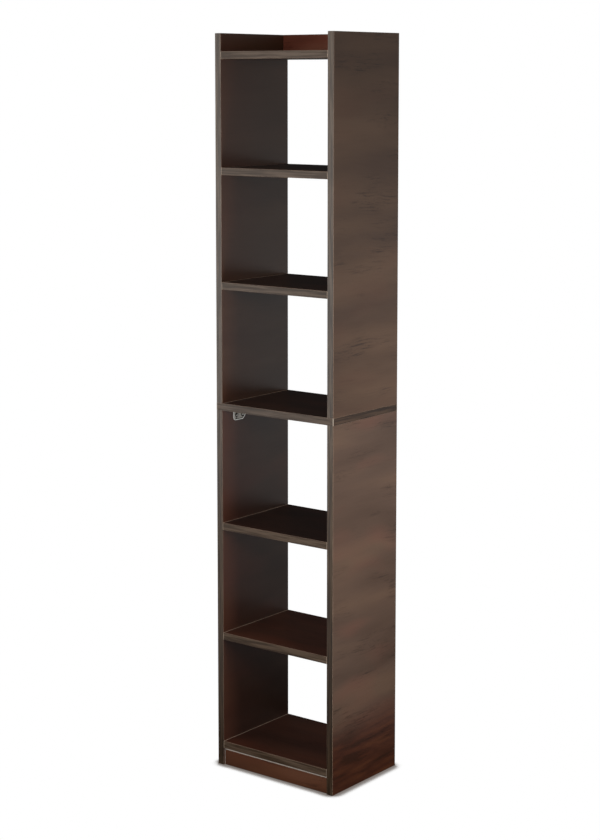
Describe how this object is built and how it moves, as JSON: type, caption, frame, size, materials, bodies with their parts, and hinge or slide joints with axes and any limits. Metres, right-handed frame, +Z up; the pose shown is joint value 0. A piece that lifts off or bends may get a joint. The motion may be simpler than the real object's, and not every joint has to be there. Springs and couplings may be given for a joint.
{
  "type": "open bookcase",
  "caption": "Tall narrow open-backed bookcase of dark wood-grain board: two stacked towers with open bays on both sides of a joining board, a kick board below and a railed tray on top.",
  "frame": {"origin": "on the floor, under the middle of the case's width and depth", "axes": "+Z up, the open front with the kick board faces -Y, +X to the right seen from the front"},
  "size_m": [0.355, 0.258, 1.8],
  "materials": {
    "espresso_board": "18 mm particle board faced with melamine in a dark espresso wood grain, satin",
    "edging_strip": "1 mm plastic edging in taupe grey-brown with fine lengthwise streaks, satin",
    "zinc_plated_bracket": "pressed sheet steel, bright zinc plate",
    "zinc_plated_screw": "steel, bright zinc plate",
    "die_cast_cam": "zinc die casting, as cast and tumbled",
    "beech_dowel": "turned beech, unfinished"
  },
  "bodies": {
    "root": {"bottom_shelf": "espresso_board", "bottom_shelf_edging": "edging_strip", "bracket_screws": "zinc_plated_screw", "front_left_bracket": "zinc_plated_bracket", "front_right_bracket": "zinc_plated_bracket", "joint_dowels": "beech_dowel", "joint_screws": "zinc_plated_screw", "kick_board": "espresso_board", "kick_board_edging": "edging_strip", "lower_cam_bolts": "zinc_plated_screw", "lower_cam_locks": "die_cast_cam", "lower_dowels": "beech_dowel", "lower_left_side": "espresso_board", "lower_left_side_edging": "edging_strip", "lower_left_side_end_edging": "edging_strip", "lower_right_side": "espresso_board", "lower_right_side_edging": "edging_strip", "lower_right_side_end_edging": "edging_strip", "lower_shelf_1": "espresso_board", "lower_shelf_1_edging": "edging_strip", "lower_shelf_2": "espresso_board", "lower_shelf_2_edging": "edging_strip", "middle_board": "espresso_board", "middle_board_edging": "edging_strip", "middle_board_end_edging": "edging_strip", "rear_left_bracket": "zinc_plated_bracket", "rear_right_bracket": "zinc_plated_bracket", "top_back_rail": "espresso_board", "top_back_rail_edging": "edging_strip", "top_shelf": "espresso_board", "top_shelf_edging": "edging_strip", "upper_cam_bolts": "zinc_plated_screw", "upper_cam_locks": "die_cast_cam", "upper_dowels": "beech_dowel", "upper_left_side": "espresso_board", "upper_left_side_edging": "edging_strip", "upper_left_side_end_edging": "edging_strip", "upper_right_side": "espresso_board", "upper_right_side_edging": "edging_strip", "upper_right_side_end_edging": "edging_strip", "upper_shelf_1": "espresso_board", "upper_shelf_1_edging": "edging_strip", "upper_shelf_2": "espresso_board", "upper_shelf_2_edging": "edging_strip"}
  },
  "joints": []
}
